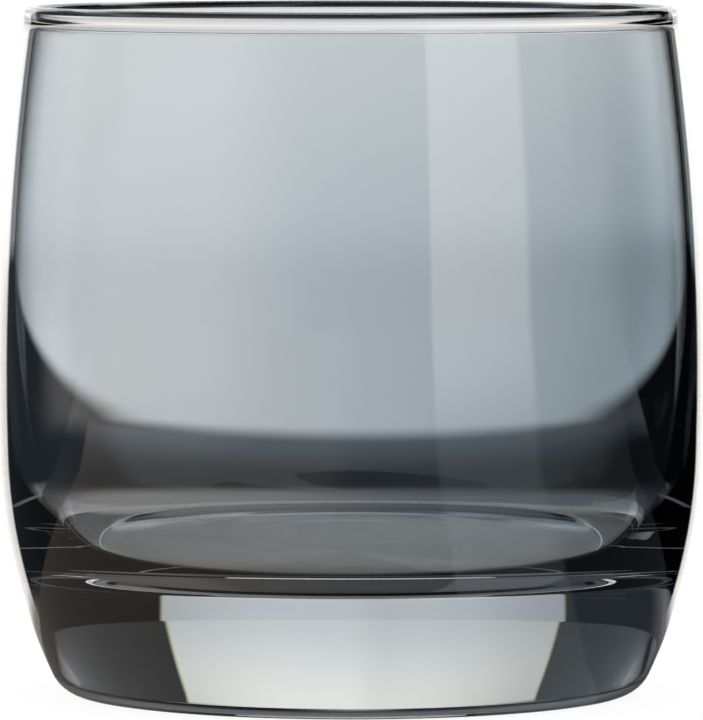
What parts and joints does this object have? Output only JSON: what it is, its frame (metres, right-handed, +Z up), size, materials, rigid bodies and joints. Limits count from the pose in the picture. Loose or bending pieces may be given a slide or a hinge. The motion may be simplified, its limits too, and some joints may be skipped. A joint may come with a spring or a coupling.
{
  "type": "whiskey tumbler",
  "caption": "Barrel-shaped lowball tumbler of clear glass with a thick solid base, a rounded clear rim and a smoke-grey mirror-like coating on the outside.",
  "frame": {"origin": "centre of the foot, on the surface that the glass stands on", "axes": "+Z up along the axis of the round glass, from the foot to the mouth; +X to the right and -Y to the front, which are alike because the glass is round"},
  "size_m": [0.0862, 0.0862, 0.084],
  "materials": {
    "clear_glass": "clear soda-lime glass, fire-polished smooth",
    "smoke_lustre": "thin transparent smoke-grey lustre with a slight mirror sheen"
  },
  "bodies": {
    "root": {"glass_body": "clear_glass", "smoke_coating": "smoke_lustre"}
  },
  "joints": []
}
